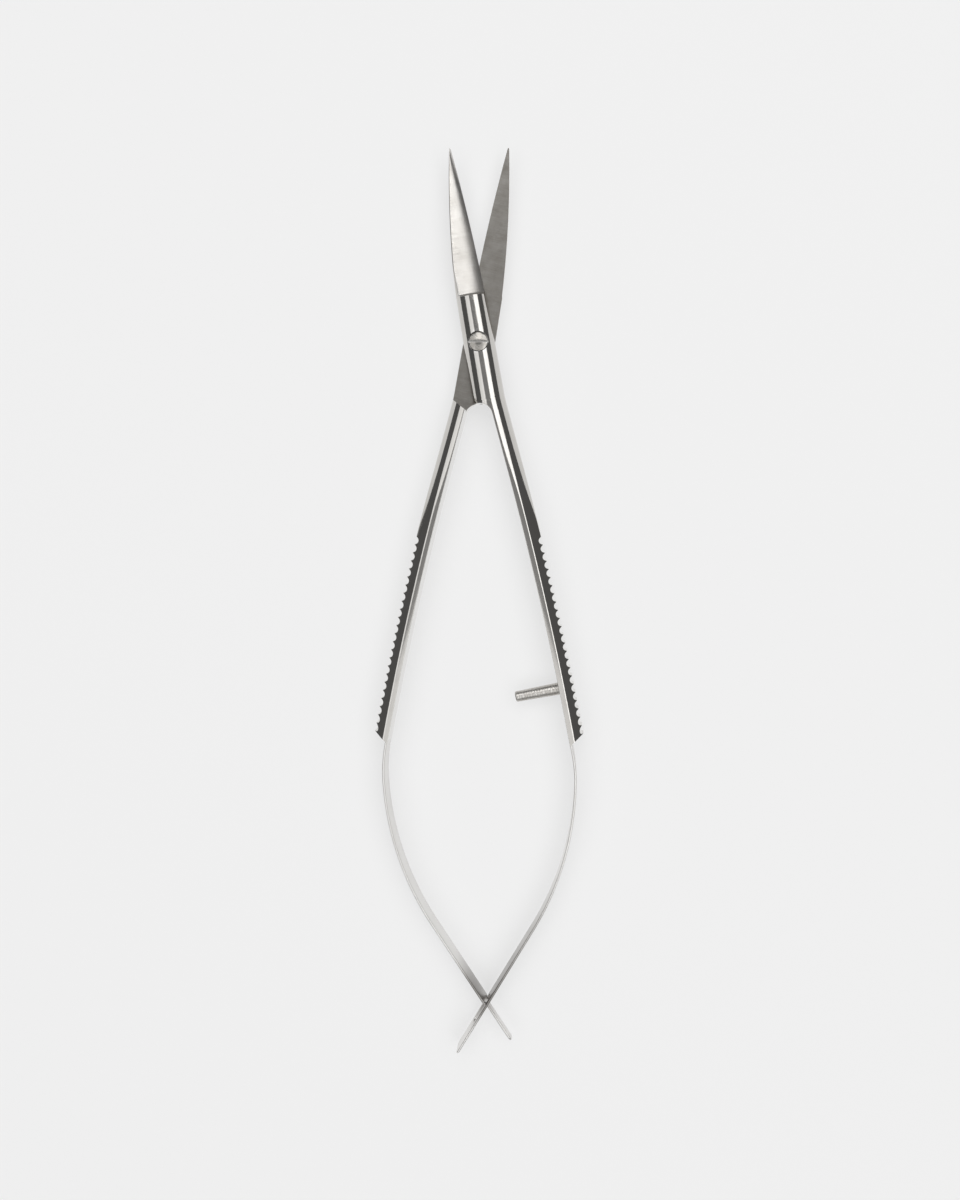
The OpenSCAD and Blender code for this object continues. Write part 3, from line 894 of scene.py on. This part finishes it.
class SCISSORS_OT_springs(bpy.types.Operator):
    """Build the two leaf springs, one with its slot and one with its tongue."""

    bl_idname = "scissors.springs"
    bl_label = "Springs"

    def execute(self, context):
        settings = context.scene.scissors
        thickness = settings.strip_thickness / MM
        finish = FINISHES["spring_steel"]

        # The slotted leaf's colour carries a band of painted shade towards the crossing
        steel = steel_material("spring_steel", settings.spring_colour, finish, SLOTTED_PAINTED_SHADE)
        path = strip_path(LEAF_LEAN, SLOTTED_RUN + SLOTTED_TAIL)
        distance, line, angle = path
        width = leaf_width(distance) - end_loss(distance, *SLOTTED_END)
        mesh = strip_mesh("slotted_strip", path, width, thickness, False)
        at = CURVES + SLOTTED_RUN + (SLOT_AFTER - SLOT_BEFORE) / 2
        middle = np.array([np.interp(at, distance, line[:, k]) for k in (0, 1)])
        mesh = cut_away(mesh, [slot_cutter(middle, angle[-1])])
        place_strip(mesh, "slotted_strip", steel, "front_arm", "slotted_spring")

        # The tongue leaf's colour carries a band of painted shade towards the crossing
        steel = steel_material("tongue_steel", settings.spring_colour, finish, TONGUE_PAINTED_SHADE)
        path = strip_path(-LEAF_LEAN, TONGUE_RUN + TONGUE_TAIL)
        distance = path[0]
        shoulder = CURVES + TONGUE_RUN - TONGUE_SHOULDER - SHOULDER_ROUND
        ease = np.clip((distance - shoulder) / SHOULDER_ROUND, 0.0, 1.0)
        drop = 1 - np.sqrt(np.maximum(1 - ease ** 2, 0.0))
        width = leaf_width(distance)
        width = width + (TONGUE_WIDTH - width) * drop - end_loss(distance, *TONGUE_END)
        mesh = strip_mesh("tongue_strip", path, width, thickness, True)
        place_strip(mesh, "tongue_strip", steel, "rear_arm", "tongue_spring")
        return {"FINISHED"}


# The screw and the stop pin

class SCISSORS_OT_screw(bpy.types.Operator):
    """Build the slotted pivot screw with its domed head."""

    bl_idname = "scissors.screw"
    bl_label = "Pivot screw"

    def execute(self, context):
        settings = context.scene.scissors
        steel = steel_material("screw_steel", settings.screw_colour, FINISHES["screw_steel"])
        dark = steel_material("slot_steel", settings.ground_colour, FINISHES["ground_flat"])
        head = settings.head_diameter / MM / 2
        reach = np.linspace(head - HEAD_INSET, AXLE, 14)
        crown = BAR_RADIUS - HEAD_DOME + np.sqrt(HEAD_DOME ** 2 - reach ** 2)
        profile = [
            (AXLE, SCREW_END),
            (NECK_RADIUS - NECK_CHAMFER, SCREW_END),
            (NECK_RADIUS, SCREW_END + NECK_CHAMFER),
            (NECK_RADIUS, HEAD_BASE),
            (head, HEAD_BASE),
            *((head - loss, crown[0] - drop) for loss, drop in HEAD_ROUND),
            *zip(reach, crown),
        ]
        mesh = cut_away(lathe_mesh("screw", profile), [driver_slot(DRIVER_SLOT_IN_HEAD)])
        store_place(mesh, False)
        piece = new_piece("screw", mesh, [steel, dark], smooth_angle=30.0)
        middle = face_values(mesh, "center") / MM
        in_slot = np.abs(middle[:, 1] - PIVOT_Y) < DRIVER_SLOT_WIDTH / 2 + 0.01
        in_slot &= middle[:, 2] > LAP_Z + DRIVER_SLOT_FLOOR - 0.1
        mesh.polygons.foreach_set("material_index", in_slot.astype(np.int32))
        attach(piece, "rear_arm")
        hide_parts("pivot_screw")
        return {"FINISHED"}


class SCISSORS_OT_stop_pin(bpy.types.Operator):
    """Build the turned stop pin on the front handle."""

    bl_idname = "scissors.stop_pin"
    bl_label = "Stop pin"

    def execute(self, context):
        settings = context.scene.scissors
        steel = steel_material("pin_steel", settings.steel_colour, FINISHES["pin_steel"])
        run = np.concatenate([[-PIN_SEAT], np.linspace(0.0, 5.5, 140), [5.56, 5.62, PIN_LENGTH]])
        share = np.clip(run / PIN_CHAMFER_START, 0.0, 1.0)
        rough = sum(PIN_WAVE_HEIGHT * np.sin(run * rate + start) for rate, start in PIN_WAVES)
        turned = (run > PIN_TURNED[0]) & (run < PIN_TURNED[1])
        radius = PIN_RADIUS - PIN_TAPER * share + np.where(turned, rough - PIN_WAVE_DEPTH, 0.0)
        radius = radius - PIN_CHAMFER_SLOPE * np.maximum(run - PIN_CHAMFER_START, 0.0)
        angle = np.linspace(0, 2 * np.pi, 48, endpoint=False)
        ahead = radius[:, None] * np.cos(angle)
        at = np.full_like(ahead, BOW_START + PIN_DISTANCE)
        turn = bar_angle(at)
        points = on_arm(at, FLAT_INSET - run[:, None], radius[:, None] * np.sin(angle))
        points[..., 0] += ahead * np.sin(turn)
        points[..., 1] -= ahead * np.cos(turn)
        mesh = tube_mesh("pin", placed(points, False))
        store_place(mesh, False)
        piece = new_piece("pin", mesh, [steel], smooth_angle=50.0)
        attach(piece, "front_arm")
        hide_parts("stop_pin")
        return {"FINISHED"}


# The finishes

def feed(tree, socket, value):
    """Link a socket to an input, or set the input to a number, vector or colour."""
    if isinstance(value, bpy.types.NodeSocket):
        tree.links.new(value, socket)
    else:
        socket.default_value = value


def math_node(tree, operation, *values):
    """Math node on sockets or numbers; gives its output."""
    node = tree.nodes.new("ShaderNodeMath")
    node.operation = operation
    for socket, value in zip(node.inputs, values):
        feed(tree, socket, value)
    return node.outputs[0]


def scaled_vector(tree, vector, scale):
    """Vector multiplied by another, part by part."""
    node = tree.nodes.new("ShaderNodeVectorMath")
    node.operation = "MULTIPLY"
    feed(tree, node.inputs[0], vector)
    feed(tree, node.inputs[1], scale)
    return node.outputs[0]


def turned_vector(tree, vector, angle):
    """Vector turned about the upright axis."""
    node = tree.nodes.new("ShaderNodeVectorRotate")
    node.rotation_type = "Z_AXIS"
    feed(tree, node.inputs["Vector"], vector)
    feed(tree, node.inputs["Angle"], angle)
    return node.outputs["Vector"]


def noise_node(tree, vector, scale, detail):
    """Noise Texture on a vector; gives its factor."""
    node = tree.nodes.new("ShaderNodeTexNoise")
    for name, value in (("Vector", vector), ("Scale", scale), ("Detail", detail),
                        ("Roughness", NOISE_ROUGHNESS)):
        feed(tree, node.inputs[name], value)
    return node.outputs["Fac"]


def mapped(tree, value, start, target=(0.0, 1.0), kind="LINEAR"):
    """Value mapped from one pair of limits onto another and held between them."""
    node = tree.nodes.new("ShaderNodeMapRange")
    node.interpolation_type = kind
    names = ("Value", "From Min", "From Max", "To Min", "To Max")
    for name, item in zip(names, (value, *start, *target)):
        feed(tree, node.inputs[name], item)
    return node.outputs["Result"]


def mixed_colour(tree, share, first, second, kind="MIX"):
    """Mix of two colours by a share."""
    node = tree.nodes.new("ShaderNodeMix")
    node.data_type = "RGBA"
    node.blend_type = kind
    for name, item in (("Factor", share), ("A", first), ("B", second)):
        feed(tree, node.inputs[name], item)
    return node.outputs["Result"]


def new_group(name, inputs, outputs):
    """Empty shader node group with its sockets; gives the tree, its start and its end."""
    tree = bpy.data.node_groups.new(name, "ShaderNodeTree")
    for way, sockets in (("INPUT", inputs), ("OUTPUT", outputs)):
        for label, kind in sockets:
            tree.interface.new_socket(name=label, in_out=way, socket_type="NodeSocket" + kind)
    start = tree.nodes.new("NodeGroupInput").outputs
    end = tree.nodes.new("NodeGroupOutput").inputs
    return tree, start, end


def grinding_group():
    """Grinding lines: noise stretched along the stroke, in a fine and a coarse layer."""
    tree, start, end = new_group(
        "grinding_lines", (("Place", "Vector"), ("Stretch", "Vector"), ("Turn", "Float")),
        (("Lines", "Float"), ("Streaks", "Float")))
    place = turned_vector(tree, start["Place"], start["Turn"])
    place = scaled_vector(tree, place, start["Stretch"])
    fine = noise_node(tree, place, 1.0, 3.0)
    coarse = noise_node(tree, place, COARSE_SCALE, 2.0)
    feed(tree, end["Lines"], math_node(tree, "MULTIPLY_ADD", coarse, COARSE_SHARE, fine))
    half = math_node(tree, "MULTIPLY", fine, 0.5)
    feed(tree, end["Streaks"], math_node(tree, "MULTIPLY_ADD", coarse, 0.5, half))
    return tree


def scratch_group():
    """Fine scratches: the thin places where stretched, bent noise crosses its middle value,
    shown only in patches of a coarser noise."""
    tree, start, end = new_group(
        "fine_scratches", (("Place", "Vector"), ("Turn", "Float"), ("Spread", "Float")),
        (("Scratches", "Float"),))
    place = turned_vector(tree, start["Place"], start["Turn"])
    place = scaled_vector(tree, place, SCRATCH_STRETCH)
    noise = noise_node(tree, place, 1.0, 0.0)
    broken = noise_node(tree, scaled_vector(tree, place, PATCH_STRETCH), 1.0, 1.0)
    gate = math_node(tree, "GREATER_THAN", broken, PATCH_LIMIT)
    off = math_node(tree, "ABSOLUTE", math_node(tree, "SUBTRACT", noise, 0.5))
    thin = mapped(tree, off, (0.0, start["Spread"]), (1.0, 0.0))
    feed(tree, end["Scratches"], math_node(tree, "MULTIPLY", thin, gate))
    return tree


def tone_group():
    """Steel tone: slow cloudy noise that darkens and warms the colour in places, and a paler
    tone on worn edges."""
    tree, start, end = new_group(
        "steel_tone",
        (("Place", "Vector"), ("Colour", "Color"), ("Dark", "Color"), ("Amount", "Float"),
         ("Size", "Float"), ("Streaks", "Float"), ("Edge", "Float")),
        (("Colour", "Color"), ("Cloud", "Float")))
    cloud = noise_node(tree, start["Place"], start["Size"], 4.0)
    both = math_node(tree, "MULTIPLY_ADD", start["Streaks"], TONE_WEIGHT,
                     math_node(tree, "MULTIPLY", cloud, TONE_WEIGHT))
    share = mapped(tree, both, TONE_BAND, (0.0, start["Amount"]))
    tone = mixed_colour(tree, share, start["Colour"], start["Dark"])
    worn = math_node(tree, "MULTIPLY", start["Edge"], WORN_SHARE)
    feed(tree, end["Colour"], mixed_colour(tree, worn, tone, WORN_COLOUR))
    feed(tree, end["Cloud"], cloud)
    return tree


GROUP_MAKERS = {"grinding_lines": grinding_group, "fine_scratches": scratch_group,
                "steel_tone": tone_group}


def group_node(tree, name, **values):
    """Place a node group, built at its first use, and set or link its inputs; gives its
    outputs."""
    node = tree.nodes.new("ShaderNodeGroup")
    node.node_tree = bpy.data.node_groups.get(name) or GROUP_MAKERS[name]()
    for key, value in values.items():
        feed(tree, node.inputs[key], value)
    return node.outputs


def painted_leaf_shade(tree, colour, place, band):
    """Painted shade: darken the colour along the leaf, rising from the band's start to its
    darkest place, then back to nothing at its end."""
    parts = tree.nodes.new("ShaderNodeSeparateXYZ")
    feed(tree, parts.inputs[0], place)
    along = parts.outputs["Y"]
    start, darkest, end = band
    rise = mapped(tree, along, (start, darkest), kind="SMOOTHSTEP")
    fall = mapped(tree, along, (end, darkest), kind="SMOOTHSTEP")
    share = math_node(tree, "MINIMUM", rise, fall)
    return mixed_colour(tree, share, colour, PAINTED_SHADE_COLOUR, "MULTIPLY")


def steel_material(name, colour, finish, shade_band=None):
    """Steel whose lines, scratches, clouds and worn edges follow the arm it lies on. A shade
    band, if given, paints shade into the colour along a spring leaf.
    """
    material = bpy.data.materials.new(name)
    material.use_nodes = True
    tree = material.node_tree
    shader = tree.nodes["Principled BSDF"].inputs
    shader["Metallic"].default_value = 1.0
    layers = []
    for layer in ("arm_place", "worn_edge"):
        node = tree.nodes.new("ShaderNodeAttribute")
        node.attribute_name = layer
        layers.append(node.outputs)
    place = layers[0]["Vector"]
    lines = group_node(tree, "grinding_lines", Place=place, Stretch=finish["stretch"],
                       Turn=finish["turn"])
    marks = group_node(tree, "fine_scratches", Place=place, Turn=finish["scratch_turn"],
                       Spread=finish["scratch_spread"])
    dark = tuple(DARK_TINT * np.array(colour))
    tone = group_node(tree, "steel_tone", Place=place, Colour=(*colour, 1.0),
                      Dark=(*dark, 1.0), Amount=finish["mottle"], Size=finish["cloud_size"],
                      Streaks=lines["Streaks"], Edge=layers[1]["Fac"])
    shown = tone["Colour"]
    # Painted shade along the leaf, darkest towards the crossing
    if shade_band:
        shown = painted_leaf_shade(tree, shown, place, shade_band)
    feed(tree, shader["Base Color"], shown)
    rough = mapped(tree, tone["Cloud"], CLOUD_BAND, finish["roughness"])
    feed(tree, shader["Roughness"], rough)
    height = math_node(tree, "MULTIPLY_ADD", marks["Scratches"], -finish["scratch_depth"],
                       lines["Lines"])
    bump = tree.nodes.new("ShaderNodeBump")
    bump.inputs["Strength"].default_value = finish["bump"]
    bump.inputs["Distance"].default_value = BUMP_DISTANCE
    feed(tree, bump.inputs["Height"], height)
    feed(tree, shader["Normal"], bump.outputs["Normal"])
    return material


# The studio

def area_light(name, location, size, power):
    """Rectangular softbox that faces straight down."""
    data = bpy.data.lights.new(name, "AREA")
    data.shape = "RECTANGLE"
    data.size, data.size_y = size
    data.energy = power
    light = bpy.data.objects.new(name, data)
    light.location = location
    bpy.context.scene.collection.objects.link(light)
    return light


def studio_world(settings):
    """Studio walls: pale to the camera, grey overhead, paler over the tail than over the
    blades, and dark at both sides of the tool."""
    world = bpy.data.worlds.new("studio")
    world.use_nodes = True
    tree = world.node_tree
    coord = tree.nodes.new("ShaderNodeTexCoord")
    parts = tree.nodes.new("ShaderNodeSeparateXYZ")
    feed(tree, parts.inputs[0], coord.outputs["Generated"])
    side = mapped(tree, math_node(tree, "ABSOLUTE", parts.outputs["X"]), WALL_BAND)
    ceiling = mapped(tree, parts.outputs["Y"], CEILING_BAND,
                     (settings.tail_level, settings.ceiling_level))
    level = mapped(tree, side, (0.0, 1.0), (ceiling, settings.wall_level))
    path = tree.nodes.new("ShaderNodeLightPath")
    seen = mixed_colour(tree, path.outputs["Is Camera Ray"], level,
                        (*settings.floor_colour, 1.0))
    feed(tree, tree.nodes["Background"].inputs["Color"], seen)
    return world


def floor_material(colour):
    """Matt floor. Part of what the camera sees and all that the steel reflects is the plain
    colour, so the tool's shadow stays faint and its own reflections pale."""
    material = bpy.data.materials.new("floor")
    material.use_nodes = True
    tree = material.node_tree
    shader = tree.nodes["Principled BSDF"]
    shader.inputs["Base Color"].default_value = (*colour, 1.0)
    shader.inputs["Roughness"].default_value = 0.9
    shader.inputs["Specular IOR Level"].default_value = 0.0
    plain = tree.nodes.new("ShaderNodeEmission")
    plain.inputs["Color"].default_value = (*colour, 1.0)
    path = tree.nodes.new("ShaderNodeLightPath").outputs
    seen = math_node(tree, "MULTIPLY", path["Is Camera Ray"], FLOOR_PLAIN)
    mix = tree.nodes.new("ShaderNodeMixShader")
    feed(tree, mix.inputs["Fac"], math_node(tree, "MAXIMUM", seen, path["Is Glossy Ray"]))
    feed(tree, mix.inputs[1], shader.outputs[0])
    feed(tree, mix.inputs[2], plain.outputs[0])
    feed(tree, tree.nodes["Material Output"].inputs["Surface"], mix.outputs[0])
    return material


def floor_piece(settings):
    """Flat pale floor that takes the tool's shadow."""
    mesh = bpy.data.meshes.new("floor")
    half = FLOOR_HALF
    corners = [(-half, -half, 0), (half, -half, 0), (half, half, 0), (-half, half, 0)]
    mesh.from_pydata(corners, [], [(0, 1, 2, 3)])
    mesh.materials.append(floor_material(settings.floor_colour))
    floor = bpy.data.objects.new("floor", mesh)
    bpy.context.scene.collection.objects.link(floor)


def studio_camera(settings):
    """Camera over the tool, turned sideways to look at its middle line and shifted, not
    turned, for its place ahead."""
    data = bpy.data.cameras.new("camera")
    data.sensor_fit = "VERTICAL"
    data.sensor_height = SENSOR_HEIGHT
    reach = np.hypot(settings.camera_side, settings.camera_height)
    data.lens = SENSOR_HEIGHT * reach / VIEW_HEIGHT
    data.shift_y = -settings.camera_ahead / VIEW_HEIGHT
    data.clip_start = 0.01
    camera = bpy.data.objects.new("camera", data)
    camera.location = (settings.camera_side + AIM_SHIFT, settings.camera_ahead,
                       settings.camera_height + LAP_Z * MM)
    camera.rotation_euler.y = np.arctan2(settings.camera_side, settings.camera_height)
    bpy.context.scene.collection.objects.link(camera)
    return camera


class SCISSORS_OT_stage(bpy.types.Operator):
    """Set up the floor, the soft lights and the camera."""

    bl_idname = "scissors.stage"
    bl_label = "Stage"

    def execute(self, context):
        settings = context.scene.scissors
        scene = context.scene
        scene.view_settings.view_transform = "Standard"
        floor_piece(settings)
        scene.world = studio_world(settings)
        inner, outer = BOX_HEIGHT * np.tan(np.radians(BOX_ANGLES))
        middle = (inner + outer) / 2
        side_size = (outer - inner, BOX_LENGTH)
        for name, x, y, size, power in (
                ("left_box", -middle, 0.0, side_size, settings.left_power),
                ("right_box", middle, 0.0, side_size, settings.right_power),
                ("far_box", 0.0, FAR_BOX_Y, FAR_BOX_SIZE, settings.far_power),
                ("near_box", 0.0, NEAR_BOX_Y, NEAR_BOX_SIZE, settings.near_power)):
            area_light(name, (x, y, BOX_HEIGHT), size, power)
        fill = area_light("fill", (0.0, 0.0, FILL_HEIGHT), FILL_SIZE, settings.fill_power)
        fill.visible_glossy = False
        scene.camera = studio_camera(settings)
        return {"FINISHED"}


class SCISSORS_PT_panel(bpy.types.Panel):
    """Sidebar panel with all settings and one button for each operator."""

    bl_label = "Cuticle scissors"
    bl_idname = "SCISSORS_PT_panel"
    bl_space_type = "VIEW_3D"
    bl_region_type = "UI"
    bl_category = "Scissors"

    def draw(self, context):
        settings = context.scene.scissors
        for name in ScissorsSettings.__annotations__:
            self.layout.prop(settings, name)
        for operator in OPERATORS:
            self.layout.operator(operator.bl_idname)


OPERATORS = (SCISSORS_OT_arms, SCISSORS_OT_springs, SCISSORS_OT_screw, SCISSORS_OT_stop_pin,
             SCISSORS_OT_stage)
CLASSES = (ScissorsSettings, *OPERATORS, SCISSORS_PT_panel)


def register():
    """Register all classes and hang the settings on the scene."""
    for item in CLASSES:
        bpy.utils.register_class(item)
    bpy.types.Scene.scissors = bpy.props.PointerProperty(type=ScissorsSettings)


def unregister():
    """Undo register, in the opposite order."""
    del bpy.types.Scene.scissors
    for item in reversed(CLASSES):
        bpy.utils.unregister_class(item)


def main():
    """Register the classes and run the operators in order."""
    register()
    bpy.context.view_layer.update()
    bpy.ops.scissors.arms()
    bpy.ops.scissors.springs()
    bpy.ops.scissors.screw()
    bpy.ops.scissors.stop_pin()
    bpy.ops.scissors.stage()


if __name__ == "__main__":
    main()
